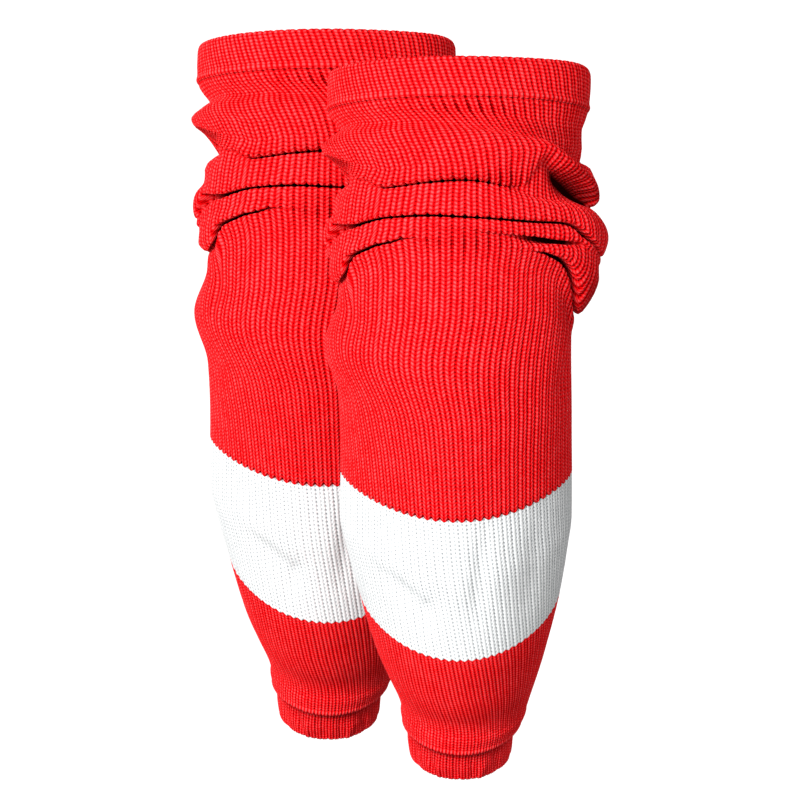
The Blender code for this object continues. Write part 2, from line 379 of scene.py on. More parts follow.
def curve_through(points: Array, steps: tuple[int, ...]) -> tuple[Array, Array]:
    """Draw a centripetal Catmull-Rom curve through control rows.

    Args:
        points: Array of rows, columns and (level, out).
        steps: How many rows each gap between control rows is cut into.

    Returns:
        The finer points, and each fine row's place among the control rows.
    """
    first = 2.0 * points[0] - points[1]
    last = 2.0 * points[-1] - points[-2]
    padded = np.concatenate((first[None], points, last[None]))
    gap = np.maximum(np.linalg.norm(np.diff(padded, axis=0), axis=-1), LEAST_GAP) ** 0.5
    fine, places = [], []
    for k, count in enumerate(steps):
        p0, p1, p2, p3 = padded[k:k + 4]
        g0, g1, g2 = (g[:, None] for g in gap[k:k + 3])
        t1, t2, t3 = g0, g0 + g1, g0 + g1 + g2
        for s in range(count):
            share = s / count
            t = t1 + (t2 - t1) * share
            a1 = (t1 - t) / t1 * p0 + t / t1 * p1
            a2 = (t2 - t) / (t2 - t1) * p1 + (t - t1) / (t2 - t1) * p2
            a3 = (t3 - t) / (t3 - t2) * p2 + (t - t2) / (t3 - t2) * p3
            b1 = (t2 - t) / t2 * a1 + t / t2 * a2
            b2 = (t3 - t) / (t3 - t1) * a2 + (t - t1) / (t3 - t1) * a3
            fine.append((t2 - t) / (t2 - t1) * b1 + (t - t1) / (t2 - t1) * b2)
            places.append(k + share)
    fine.append(points[-1])
    places.append(len(steps))
    return np.array(fine), np.array(places)


def unit(ways: Array) -> Array:
    """Bring vectors to a length of one."""
    return ways / np.maximum(np.linalg.norm(ways, axis=-1, keepdims=True), TINY)


def inside_of(points: Array, creases: list[bool], depth: float,
              turn: float) -> tuple[Array, list[int]]:
    """Find the wall's inside from its control rows.

    Args:
        points: Array of rows, columns and (level, out) on the outside.
        creases: Which rows turn back on themselves; those get three rows inside.
        depth: The cloth's thickness in millimetres.
        turn: Millimetres of cloth on each side of a turn.

    Returns:
        The inside's points in the same form, and the control row each belongs to.
    """
    inward = np.array([0.0, -depth])
    inside, owner = [points[0] + inward], [0]
    for k in range(1, len(points) - 1):
        arrive, leave = unit(points[k] - points[k - 1]), unit(points[k + 1] - points[k])
        before = np.stack((-arrive[:, 1], arrive[:, 0]), axis=-1)
        after = np.stack((-leave[:, 1], leave[:, 0]), axis=-1)
        middle = unit(before + after)
        if creases[k]:
            inside.append(points[k] + depth * before - turn * arrive)
            inside.append(points[k] + depth * middle)
            inside.append(points[k] + depth * after + turn * leave)
            owner += [k, k, k]
        else:
            inside.append(points[k] + depth * middle)
            owner.append(k)
    inside.append(points[-1] + inward)
    owner.append(len(points) - 1)
    return np.array(inside), owner


def normals_of(points: Array) -> Array:
    """Find the unit normals of a wrapped grid, out of the cloth.

    Args:
        points: Rows going down and columns going round, the last one on the first.

    Returns:
        The normal at each point.
    """
    down = np.gradient(points, axis=0)
    along = np.empty_like(points)
    ring = points[:, :-1]
    along[:, :-1] = np.roll(ring, -1, axis=1) - np.roll(ring, 1, axis=1)
    along[:, -1] = along[:, 0]
    normal = np.cross(down, along)
    return normal / np.maximum(np.linalg.norm(normal, axis=-1, keepdims=True), TINY * TINY)


# --- finishes

class Graph:
    """Short hands for wiring a material's nodes."""

    def __init__(self, name: str) -> None:
        """Start an empty material.

        Args:
            name: The material's name.
        """
        self.material = bpy.data.materials.new(name)
        self.material.use_nodes = True
        self.tree = self.material.node_tree
        self.tree.nodes.clear()

    def node(self, kind: str, inputs: dict[str | int, object],
             **settings: object) -> bpy.types.Node:
        """Add a node.

        Args:
            kind: The node's type.
            inputs: Sockets or plain values for its inputs, by name or number.
            settings: Its properties.

        Returns:
            The node.
        """
        made = self.tree.nodes.new(kind)
        for name, value in settings.items():
            setattr(made, name, value)
        for name, value in inputs.items():
            if isinstance(value, Socket):
                self.tree.links.new(value, made.inputs[name])
            else:
                made.inputs[name].default_value = value
        return made

    def math(self, operation: str, *values: object) -> Socket:
        """Add a Math node fed by sockets or numbers."""
        return self.node("ShaderNodeMath", dict(enumerate(values)), operation=operation).outputs[0]

    def map_axes(self, name: str) -> list[Socket]:
        """Read the two axes of a UV map."""
        both = self.node("ShaderNodeUVMap", {}, uv_map=name).outputs["UV"]
        return self.node("ShaderNodeSeparateXYZ", {0: both}).outputs[:2]

    def noise(self, where: Socket, scale: float, detail: float) -> Socket:
        """Add noise, its scale per metre of where and its detail in finer layers."""
        inputs = {"Vector": where, "Scale": scale, "Detail": detail}
        return self.node("ShaderNodeTexNoise", inputs).outputs["Fac"]

    def varied(self, value: Socket, noise: Socket, amount: float) -> Socket:
        """Add noise to a value, half of amount up and down."""
        return self.math("ADD", value, self.math("MULTIPLY_ADD", noise, amount, -0.5 * amount))

    def ramp(self, value: Socket, low: float, high: float) -> Socket:
        """Add a smooth step of a value, from 0 at low to 1 at high."""
        inputs = {"Value": value, "From Min": low, "From Max": high}
        return self.node("ShaderNodeMapRange", inputs, interpolation_type="SMOOTHSTEP").outputs[0]


@dataclass(frozen=True)
class KnitFinish:
    """Ribbed knit in one yarn: colours are linear, heights are in metres.

    A rib is two columns of stitches. bead_slant is how many courses a stitch climbs
    across its column, and painted_groove_shade is how much painted shade darkens the
    colour from a rib to its groove. Of the colours, crest is the yarn with a painted
    highlight on the stitches, body is the yarn's own colour, the flank and hole colours
    are painted shade on the ribs' flanks and in the holes, and shadow is the painted
    shade of deep creases. The settings that end in _holes say how much painted shade
    darkens the holes between stitches in the deep groove, in the shallow one and where
    the cloth is spread. A _fade is where holes begin and are full, in ribs, a _noise is
    its scale per metre and its detail, and a _tone is how far it moves the colour.
    """

    yarn: Yarn
    crest: Triple
    body: Triple
    painted_flank_shade: Triple
    painted_hole_shade: Triple
    shadow: Triple
    body_place: float = 0.22
    flank_place: float = 0.50
    roughness: float = 0.60
    gloss: float = 0.004
    stitch_height: float = 0.0009
    bead_slant: float = 0.30
    bead_share: float = 0.62
    link_height: float = 1.25
    painted_groove_shade: float = 0.50
    deep_holes: float = 0.42
    shallow_holes: float = 0.46
    open_holes: float = 0.45
    deep_reach: float = 0.12
    open_reach: float = 0.16
    deep_fade: Pair = (1.0, 0.25)
    shallow_fade: Pair = (0.15, 0.03)
    rung_fade: Pair = (0.35, 0.90)
    ridge_fade: Pair = (0.0, 0.85)
    fibre_noise: Pair = (1500.0, 2.0)
    uneven_noise: Pair = (420.0, 1.0)
    dye_noise: Pair = (60.0, 3.0)
    fibre_tone: float = 0.24
    uneven_tone: float = 0.40
    dye_tone: float = 0.20
    fibre_height: float = 0.15
    hole_height: float = 0.5
    bump: float = 0.8

    def material(self) -> bpy.types.Material:
        """Wire the finish: stitches from the UV maps, fibres from Object coordinates.

        Returns:
            The material. In the map Knit, U counts ribs round the leg and V counts
            courses down it; in the map Pull, U says how far the grooves stand open
            and V how much painted shade darkens the cloth deep in a crease; in the map Seam,
            U marks the rows of linking stitches.
        """
        graph = Graph(self.yarn.value)
        calc = graph.math
        rib, course = graph.map_axes("Knit")
        pull, shade = graph.map_axes("Pull")
        link = graph.map_axes("Seam")[0]

        off_middle = calc("ABSOLUTE", calc("SUBTRACT", calc("FRACT", rib), 0.5))
        off_groove = calc("SUBTRACT", 0.5, off_middle)
        across = calc("COSINE", calc("MULTIPLY", rib, 4.0 * math.pi))
        ridge = graph.ramp(calc("MULTIPLY_ADD", across, -0.5, 0.5), *self.ridge_fade)
        climb = calc("MULTIPLY", off_middle, 2.0 * self.bead_slant)
        turn = calc("MULTIPLY", calc("ADD", course, climb), 2.0 * math.pi)
        bead = calc("MULTIPLY_ADD", calc("COSINE", turn), 0.5, 0.5)
        rung = calc("SUBTRACT", 1.0, bead)

        reach = calc("MULTIPLY_ADD", pull, self.open_reach, self.deep_reach)
        deep = graph.ramp(calc("DIVIDE", off_groove, reach), *self.deep_fade)
        shallow = graph.ramp(off_middle, *self.shallow_fade)
        plain = calc("SUBTRACT", 1.0, link)
        between = calc("MULTIPLY", graph.ramp(rung, *self.rung_fade), plain)
        dots = calc("MULTIPLY", deep, between)
        marks = calc("MULTIPLY", shallow, between)
        slots = calc("MULTIPLY", deep, pull)

        where = graph.node("ShaderNodeTexCoord", {}).outputs["Object"]
        fibre = graph.noise(where, *self.fibre_noise)
        uneven = graph.noise(where, *self.uneven_noise)
        dye = graph.noise(where, *self.dye_noise)

        stitch = calc("MULTIPLY_ADD", bead, self.bead_share, 1.0 - self.bead_share)
        stitch = calc("MAXIMUM", stitch, calc("MULTIPLY", link, self.link_height))
        body = calc("MULTIPLY", ridge, stitch)
        # How far down the colour ramp each point lies: painted shade that grows from the ribs' crests
        # into their grooves, the holes between stitches and the open slots, moved up and down by random
        # tone.
        depth = calc("MULTIPLY", calc("SUBTRACT", 1.0, body), self.painted_groove_shade)
        depth = graph.varied(depth, uneven, self.uneven_tone)
        depth = calc("MULTIPLY_ADD", dots, self.deep_holes, depth)
        depth = calc("MULTIPLY_ADD", marks, self.shallow_holes, depth)
        depth = calc("MULTIPLY_ADD", slots, self.open_holes, depth)
        depth = graph.varied(depth, fibre, self.fibre_tone)
        depth = graph.varied(depth, dye, self.dye_tone)
        # The ramp runs from a painted highlight on the crests, through the yarn's own colour, to painted
        # shade on the flanks and in the holes.
        colour = graph.node("ShaderNodeValToRGB", {"Fac": depth})
        stops = colour.color_ramp
        stops.elements[0].color = (*self.crest, 1.0)
        stops.elements[1].color = (*self.painted_hole_shade, 1.0)
        for place, tone in ((self.body_place, self.body), (self.flank_place, self.painted_flank_shade)):
            stops.elements.new(place).color = (*tone, 1.0)
        # Mix the colour towards the painted crease shade, by the shade axis of the map.
        tones = {0: shade, 6: colour.outputs["Color"], 7: (*self.shadow, 1.0)}
        sunk = graph.node("ShaderNodeMix", tones, data_type="RGBA")

        height = calc("MULTIPLY_ADD", fibre, self.fibre_height, body)
        height = calc("SUBTRACT", height, calc("MULTIPLY", dots, self.hole_height))
        bump = graph.node("ShaderNodeBump", {"Strength": self.bump, "Height": height,
                                             "Distance": self.stitch_height})
        shader = graph.node("ShaderNodeBsdfPrincipled", {
            "Base Color": sunk.outputs[2],
            "Normal": bump.outputs["Normal"],
            "Roughness": self.roughness,
            "Specular IOR Level": self.gloss,
        })
        graph.node("ShaderNodeOutputMaterial", {"Surface": shader.outputs["BSDF"]})
        return graph.material


# For each yarn: the crest colour is a painted highlight, the body colour is the yarn's own, the flank and
# hole colours are painted shade in the grooves and holes, and the shadow colour is the painted shade of
# deep creases.
RED_FINISH = KnitFinish(Yarn.RED, crest=(0.88, 0.074, 0.080), body=(0.86, 0.015, 0.019),
                        painted_flank_shade=(0.74, 0.0008, 0.002), painted_hole_shade=(0.24, 0.0, 0.001),
                        shadow=(0.012, 0.0, 0.0), deep_holes=0.58, shallow_holes=0.54)
WHITE_FINISH = KnitFinish(Yarn.WHITE, crest=(0.74, 0.74, 0.74), body=(0.70, 0.71, 0.71),
                          painted_flank_shade=(0.56, 0.575, 0.58), painted_hole_shade=(0.20, 0.215, 0.23),
                          shadow=(0.05, 0.05, 0.05), stitch_height=0.0004, bead_slant=0.18,
                          painted_groove_shade=0.34, deep_holes=0.62, shallow_holes=0.52)


# --- pieces of cloth

PER_DEGREE = 1.4             # millimetres of cloth to a degree round the leg
TROUGH_ENDS = 0.35           # how deep a trough is at its ends, as a share


@dataclass(frozen=True)
class Trough:
    """A soft crease pressed into plain cloth, or a ridge where depth is below zero.

    It runs from one bearing and level to another. Degrees and millimetres.
    """

    bearing: float
    level: float
    to_bearing: float
    to_level: float
    width: float
    depth: float

    def depth_at(self, bearing: Array, level: Array) -> Array:
        """Find how deep the trough is at points of the cloth.

        Args:
            bearing: The points' bearings in degrees.
            level: Their levels in millimetres.

        Returns:
            The depths in millimetres.
        """
        off = (bearing - self.bearing + TURN / 2) % TURN - TURN / 2
        x, y = off * PER_DEGREE, level - self.level
        run = (self.to_bearing - self.bearing) * PER_DEGREE
        rise = self.to_level - self.level
        along = np.clip((x * run + y * rise) / (run * run + rise * rise), 0.0, 1.0)
        away = np.hypot(x - along * run, y - along * rise)
        ends = TROUGH_ENDS + (1.0 - TROUGH_ENDS) * np.sin(np.pi * along)
        return self.depth * ends * np.exp(-((away / self.width) ** 2))


@dataclass(frozen=True)
class Patch:
    """A soft-edged patch of the cloth where something is stronger. Degrees and millimetres."""

    bearing: float
    width: float
    level: float
    height: float
    share: float

    def share_at(self, bearing: Array, level: Array) -> Array:
        """How much of it reaches points of the cloth."""
        round_it = np.exp(-(((bearing - self.bearing) / self.width) ** 2))
        return self.share * round_it * np.exp(-(((level - self.level) / self.height) ** 2))


@dataclass
class KnitPiece:
    """One tube of ribbed cloth, closed along the back of the leg.

    Sizes are in millimetres. per_rib is how many columns of the grid one rib takes, and
    steps is how many rows of it fill each gap between control rows. rib_base is the
    share of a rib's height that lies inside the leg's form, gape_rise is how much
    higher the ribs are where the grooves stand open, and first_zigzag and last_zigzag
    are how far the zigzags of the two edges reach, in control rows.
    """

    name: str
    yarn: Yarn
    rings: tuple[Ring, ...] = ()
    steps: tuple[int, ...] = ()
    thickness: float = 2.4
    ribs: int = 70
    per_rib: int = 8
    course: float = 2.5
    rib_base: float = 0.6
    gape_rise: float = 1.2
    shade_power: float = 1.6
    inner_rib: float = 0.5
    crease_turn: float = 0.8
    tooth: float = 0.9
    first_zigzag: float = 0.0
    last_zigzag: float = 0.0
    sharp_angle: float = 75.0
    relaxed: float = 0.86
    leg: Leg = field(default_factory=Leg)
    troughs: tuple[Trough, ...] = ()
    gapes: tuple[Patch, ...] = ()
    # patches of painted shadow
    painted_shadows: tuple[Patch, ...] = ()

    def rows(self, bearing: Array) -> Rows:
        """Draw the piece's control rows, by default from its rings.

        Args:
            bearing: The columns' bearings in degrees.

        Returns:
            The control rows.
        """
        made = Rows(np.zeros_like(bearing))
        for ring in self.rings:
            made.add(ring.level, ring.out, ring.rib, ring.shade, ring.link)
        return made

    def usual_levels(self) -> list[float]:
        """Each control row's usual height, by which its ribs are spread."""
        middle = self.rows(np.array([0.0]))
        return [float(line["level"][0]) for line in middle.lines]

    def edge_lift(self, rib: Array, place: Array) -> Array:
        """Find how far the rows rise near an edge that zigzags with a colour change.

        Args:
            rib: The columns' places, in ribs from the front.
            place: The rows' places among the control rows.

        Returns:
            The rise in millimetres, for each row and column.
        """
        near = np.zeros(len(place))
        edges = ((place, self.first_zigzag), (len(self.steps) - place, self.last_zigzag))
        for off, reach in edges:
            if reach > 0.0:
                near += np.clip(1.0 - off / reach, 0.0, 1.0)
        return near[:, None] * self.tooth * rib_teeth(rib)

    def covered(self, patches: tuple[Patch, ...], bearing: Array,
                level: Array) -> Array:
        """How much patches cover points of the cloth together, from 0 to 1."""
        total = sum((patch.share_at(bearing, level) for patch in patches), np.zeros_like(bearing))
        return np.clip(total, 0.0, 1.0)

    def dent(self, bearing: Array, level: Array) -> Array:
        """Millimetres that the cloth is pressed in by its soft troughs."""
        depths = (trough.depth_at(bearing, level) for trough in self.troughs)
        return sum(depths, np.zeros_like(bearing))

    def wall(self) -> Cloth:
        """Work out the closed wall, row by row and column by column.

        Returns:
            The wall's points and UV maps.
        """
        share = np.linspace(-0.5, 0.5, self.ribs * self.per_rib + 1)
        usual = self.usual_levels()
        total = [spread_at(level)["ribs"] for level in usual]
        bearings = np.array([bearings_of(share * n, level) for n, level in zip(total, usual)])
        stacks = [self.rows(bearing) for bearing in bearings]

        def own(name: str) -> Array:
            """Gather what each control row holds at its own bearings."""
            return np.array([stack.lines[k][name] for k, stack in enumerate(stacks)])

        def filled(values: Array) -> Array:
            """Fill in the rows between the control rows."""
            return values[low] * (1.0 - part) + values[low + 1] * part

        def round_wall(out_side: Array, in_side: Array) -> Array:
            """Join the rows of the outside and the inside into closed rings."""
            return np.concatenate((out_side, in_side[::-1], out_side[:1]))

        control = np.stack((own("level"), own("out")), axis=-1)
        fine, place = curve_through(control, self.steps)
        low = np.minimum(place.astype(int), len(usual) - 2)
        part = (place - low)[:, None]
        bearing = filled(bearings)
        level = fine[..., 0]
        number = filled(np.array(total)[:, None] * share)
        lift = self.edge_lift(share * self.ribs, place)
        outer = self.leg.point(level + lift, bearing, fine[..., 1])
        outer[:, -1] = outer[:, 0]
        normal = normals_of(outer)
        step = np.linalg.norm(np.diff(outer, axis=0), axis=-1) / (self.course * MM)
        course = np.concatenate((np.zeros((1, len(share))), np.cumsum(step, axis=0)))
        course *= course[-1].mean() / course[-1]
        pull = self.covered(self.gapes, bearing, level)
        raised = (rib_relief(number) - self.rib_base) * filled(own("rib")) * (1.0 + self.gape_rise * pull)
        # Painted crease shade: the rows' shade, sharpened by shade_power, or the painted shadow patches
        # where these are darker.
        shade = np.maximum(filled(own("shade")) ** self.shade_power,
                           self.covered(self.painted_shadows, bearing, level))
        outer = outer + normal * ((raised - self.dent(bearing, level)) * MM)[..., None]
        outer[:, -1] = outer[:, 0]

        inside, owner = inside_of(control, stacks[0].creases, self.thickness, self.crease_turn)
        inner_number = np.array([total[k] * share for k in owner])
        sunk = self.inner_rib * (1.0 - rib_relief(inner_number + 0.5))
        sunk += self.dent(bearings[owner], inside[..., 0])
        lift = self.edge_lift(share * self.ribs, np.array(owner, float))
        inner = self.leg.point(inside[..., 0] + lift, bearings[owner], inside[..., 1] - sunk)
        inner[:, -1] = inner[:, 0]
        inner_course = course[np.searchsorted(place, owner)]
        plain = np.zeros_like(inner_number)
        return Cloth(round_wall(outer, inner), {
            "Knit": (round_wall(number, inner_number), round_wall(course, inner_course)),
            "Pull": (round_wall(pull, plain), round_wall(shade, plain)),
            "Seam": (round_wall(filled(own("link")), plain), round_wall(0.0 * pull, plain)),
        })

    def mesh(self) -> bpy.types.Mesh:
        """Make the cloth from a flat grid, wrapped round the leg and closed.

        Returns:
            The mesh, with its UV maps.
        """
        cloth = self.wall()
        down, across = cloth.points.shape[0] - 1, cloth.points.shape[1] - 1
        sheet = bmesh.new()
        sheet.loops.layers.uv.new("Knit")
        bmesh.ops.create_grid(sheet, x_segments=across, y_segments=down, size=0.5, calc_uvs=True)
        for vertex, place in zip(sheet.verts, cloth.points.reshape(-1, 3)):
            vertex.co = place
        bmesh.ops.remove_doubles(sheet, verts=sheet.verts, dist=WELD)
        bmesh.ops.recalc_face_normals(sheet, faces=sheet.faces)
        made = bpy.data.meshes.new(self.name)
        sheet.to_mesh(made)
        sheet.free()
        made.uv_layers.new(name="Pull")
        made.uv_layers.new(name="Seam")
        flat = np.empty(len(made.loops) * 2, np.float32)
        made.uv_layers["Knit"].data.foreach_get("uv", flat)
        column = np.rint(flat[0::2] * across).astype(int)
        row = np.rint(flat[1::2] * down).astype(int)
        for name, values in cloth.maps.items():
            flat[0::2] = values[0][row, column]
            flat[1::2] = values[1][row, column]
            made.uv_layers[name].data.foreach_set("uv", flat)
        made.shade_smooth()
        made.set_sharp_from_angle(angle=math.radians(self.sharp_angle))
        return made

    def cut(self) -> Pair:
        """Measure the flat cloth before it was stretched on.

        Returns:
            Its width round the leg and its length down it, in metres.
        """
        cloth = self.wall()
        courses = cloth.maps["Knit"][1]
        rim = np.linalg.norm(np.diff(cloth.points[0], axis=0), axis=-1).sum()
        length = (courses.max() - courses.min()) * self.course * MM
        return float(rim * self.relaxed), float(length * self.relaxed)


@dataclass(frozen=True)
class Fold:
    """One fold of the slouched cloth at a bearing. Millimetres and degrees.

    crest is where the roll starts, nose its most outward point, lip its lower edge
    and tuck the bottom of the crease under it, and each _out says how far out that
    lies. air is the height of the gap between the lip and the cloth under it.
    """

    bearing: float
    crest: float
    nose: float
    nose_out: float
    lip: float
    lip_out: float
    tuck: float
    tuck_out: float
    air: float


TOP_FOLD: tuple[Fold, ...] = table_of(
    Fold,
    # bearing, crest, nose, nose_out, lip, lip_out, tuck, tuck_out, air
    (-150, 139, 125, 13, 106.5, 9.5, 106, 1.5, 3),
    (-120, 142, 131, 14, 111, 8, 110.5, 1.5, 3),
    (-105, 140.5, 135, 13.5, 124, 3, 113, 0.5, 9),
    (-90, 140, 135.5, 14.5, 126.5, 1.5, 114.5, -0.7, 10),
    (-75, 141.5, 134, 14.5, 122, 4, 113.8, 1, 8),
    (-60, 141.8, 131, 14, 113.5, 9.6, 111, 8.2, 1.6),
    (-50, 141, 129, 13.5, 109.8, 10.5, 107.8, 8, 1.2),
    (-43, 140.5, 128, 13, 106.2, 10.8, 104.6, 5, 1.5),
    (-38, 140.2, 127, 13, 104.6, 11.6, 103.2, 0.5, 1.7),
    (-30, 140, 126.5, 12.8, 105.4, 12, 103.8, 0.5, 1.8),
    (-15, 139.2, 126, 12.5, 107.4, 12, 105.6, 0.5, 1.8),
    (0, 138.5, 125.5, 12.5, 108.4, 12, 106.8, 0.5, 1.6),
    (12, 137.5, 124.5, 12.5, 107, 11.2, 105.4, 3, 1.4),
    (20, 136.5, 124, 12, 105, 9.6, 103.6, 5.5, 1.7),
    (28, 135.3, 124.5, 11.8, 105, 7.6, 103, 6, 1.8),
    (34, 134.8, 127, 11.5, 114, 8, 111.5, 6.4, 1.6),
    (40, 134, 130, 11.2, 123, 8, 118, 5.2, 1.6),
    (48, 130.5, 126, 11.3, 119, 7.6, 112.5, 1, 2),
    (55, 126.5, 121.5, 11.8, 116, 8, 109, -3, 2),
    (70, 119.5, 114.5, 13.8, 110.5, 11.5, 102.5, -4, 3),
    (80, 116, 109.5, 15.5, 104.8, 13.5, 98.5, -2, 3),
    (90, 120, 102, 16.5, 96, 13.5, 93.7, 10.8, 1.5),
    (115, 126, 108, 15, 96, 9, 95, 3, 3),
    (150, 136, 117, 13, 103, 9, 102, 2.5, 3),
)
MIDDLE_FOLD: tuple[Fold, ...] = table_of(
    Fold,
    # bearing, crest, nose, nose_out, lip, lip_out, tuck, tuck_out, air
    (-150, 99, 86, 12, 74, 9.5, 73, 3, 2.5),
    (-120, 103, 93, 12, 82, 9.5, 80, 4, 2),
    (-90, 104, 78, 15.4, 68, 14, 67.2, 13.6, 0.4),
    (-80, 106, 93, 11.3, 83.5, 10.5, 77.5, 0.5, 13),
    (-70, 107, 95, 9.8, 83, 9.6, 78.6, 0, 7),
    (-58, 107, 96, 9.5, 82.9, 9.4, 80.8, 0.5, 3.4),
    (-48, 106, 96, 9.5, 84.9, 9.4, 83.3, 0.5, 2.4),
    (-37, 104, 95.5, 9.5, 86.9, 9.4, 85.6, 0.5, 1.75),
    (-15, 105.4, 97, 9.5, 87.9, 9.4, 86.7, 0.5, 1.7),
    (0, 106.4, 97.5, 9.5, 87.1, 9.4, 85.9, 0.5, 1.7),
    (24, 102.4, 96, 10.5, 85.4, 10, 83.9, 0.5, 1.9),
    (38, 98, 94, 12, 84.4, 11.5, 83.2, 0, 1.68),
    (50, 97, 91, 15, 84, 14, 83, 1, 1.6),
    (57, 96, 89, 17, 82.5, 16, 81.6, 4, 1.6),
    (63, 95, 86, 20, 78.5, 19, 77.9, 8, 1.5),
    (70, 94, 82, 22, 72.5, 21, 71.6, 13, 1.7),
    (90, 92, 75, 24.5, 61.5, 21, 60.5, 19.6, 0.5),
    (115, 90, 75, 20, 63, 14, 61, 9, 2),
    (150, 95, 80, 14, 69, 10, 67, 4, 2),
)
SIDE_FOLD: tuple[Fold, ...] = table_of(
    Fold,
    # bearing, crest, nose, nose_out, lip, lip_out, tuck, tuck_out, air
    (-150, 70, 66, 9.5, 63, 8.8, 62.6, 8.5, 0.4),
    (-120, 77, 71, 12.5, 65, 9.5, 63, 7, 1.5),
    (-90, 66, 63, 12, 60, 10, 59.6, 9.7, 0.4),
    (-80, 70, 66.5, 11.5, 64, 10.8, 63.6, 10.6, 0.4),
    (-70, 77, 73, 10.5, 69, 10.2, 68.5, 10, 0.4),
    (-58, 79.4, 75.8, 9, 73, 9, 72.6, 9, 0.4),
    (-48, 82.3, 78.7, 8.6, 75.5, 8.6, 75, 8.5, 0.4),
    (-37, 84.8, 80.9, 8.2, 78, 8.1, 77.6, 8, 0.4),
    (-15, 85.9, 82.9, 7.2, 80, 6.2, 79.6, 6, 0.4),
    (0, 85.1, 82.4, 7.2, 79.3, 6, 78.8, 5.6, 0.4),
    (12, 84.4, 81, 7.6, 77.2, 6.3, 76.2, 4.8, 1),
    (24, 83.2, 80, 8.4, 76.2, 7.6, 75.4, 4, 1.2),
    (38, 82.2, 79.1, 9.2, 74.9, 8.8, 73.8, 1, 1.9),
    (50, 82, 78.4, 11.6, 73, 10.8, 72, 1, 2),
    (57, 80.4, 77.2, 14, 72.2, 13, 71.2, 3.5, 1.9),
    (63, 75, 73.4, 16.5, 71.4, 15.4, 70, 11, 1.5),
    (70, 70, 69, 19.2, 67.7, 18.7, 67.2, 18.2, 0.4),
    (90, 60, 58.3, 19.7, 56.6, 19.5, 56.2, 19.4, 0.3),
    (115, 60, 57, 13.5, 54.5, 13, 54, 12.8, 0.4),
    (150, 65, 62, 9.5, 59.5, 9, 59, 8.8, 0.4),
)
LOW_FOLD: tuple[Fold, ...] = table_of(
    Fold,
    # bearing, crest, nose, nose_out, lip, lip_out, tuck, tuck_out, air
    (-150, 60, 50, 9.5, 40, 6.5, 38, 0.5, 3),
    (-120, 60, 51, 9.5, 40, 6.5, 38, 0.5, 3),
    (-90, 57, 52, 9.6, 44, 2.6, 47, 0.5, 5),
    (-80, 61.5, 54, 10.4, 44.5, 4.2, 50, 0.5, 5.5),
    (-74, 64.8, 58.5, 10.6, 46, 6.2, 54, 0.5, 5.5),
    (-70, 66.5, 61, 10.3, 48.5, 7, 55.5, 0, 5),
    (-67, 67.8, 63, 10.1, 50, 7.8, 56.5, 0, 4.5),
    (-65, 69, 64.6, 10, 57, 8.6, 58, 0, 3.6),
    (-62, 70.2, 66.3, 9.8, 62, 9, 61.2, 0, 2.6),
    (-58, 71.5, 68, 9.6, 64.6, 9.2, 63.4, 0, 2.2),
    (-50, 74, 70.5, 9.1, 67.6, 8.8, 66.4, 0, 2),
    (-43, 75.5, 73, 8.6, 70.3, 8.3, 69.2, 0, 1.9),
    (-35, 77, 75, 8, 72, 7.6, 71, 0.5, 1.8),
    (-27, 78.4, 76.6, 7, 74.2, 6.3, 73.2, 1.5, 1.6),
    (-21, 78, 76, 5.6, 73.7, 4.6, 73, 3.4, 0.8),
    (0, 76, 73, 4.6, 69, 3.8, 68.4, 3.6, 0.4),
    (24, 73.4, 71, 4.2, 67.5, 3.4, 66.9, 3.2, 0.4),
    (36, 70, 68.6, 5.4, 66.3, 4.6, 65.3, 3.4, 0.8),
    (43, 69.5, 67.8, 7.4, 65.9, 6.8, 64.6, 1.6, 1.8),
    (50, 69.6, 66.8, 9.8, 63.6, 8.8, 62.4, 0, 2.4),
    (57, 69, 66, 12.4, 60.5, 9.8, 60.3, -0.5, 2.8),
    (64, 69, 64, 15, 54.5, 10, 57, -1, 3.2),
    (72, 66.5, 57.5, 17.3, 43, 8.5, 50, -1, 4),
    (80, 60, 49.5, 18.9, 27, 6, 31.5, -1, 4),
    (90, 55.5, 44, 18.8, 21.5, 4.6, 23.8, -0.8, 2.6),
    (100, 54, 43, 18, 23, 5, 25.2, -0.5, 2.6),
    (115, 53, 43, 16, 29, 11, 26.5, 0.5, 3),
    (150, 57, 48, 11, 36, 7.5, 34, 0.5, 3),
)
FOLD_STEPS = (3, 4, 3, 3, 3, 1, 3)


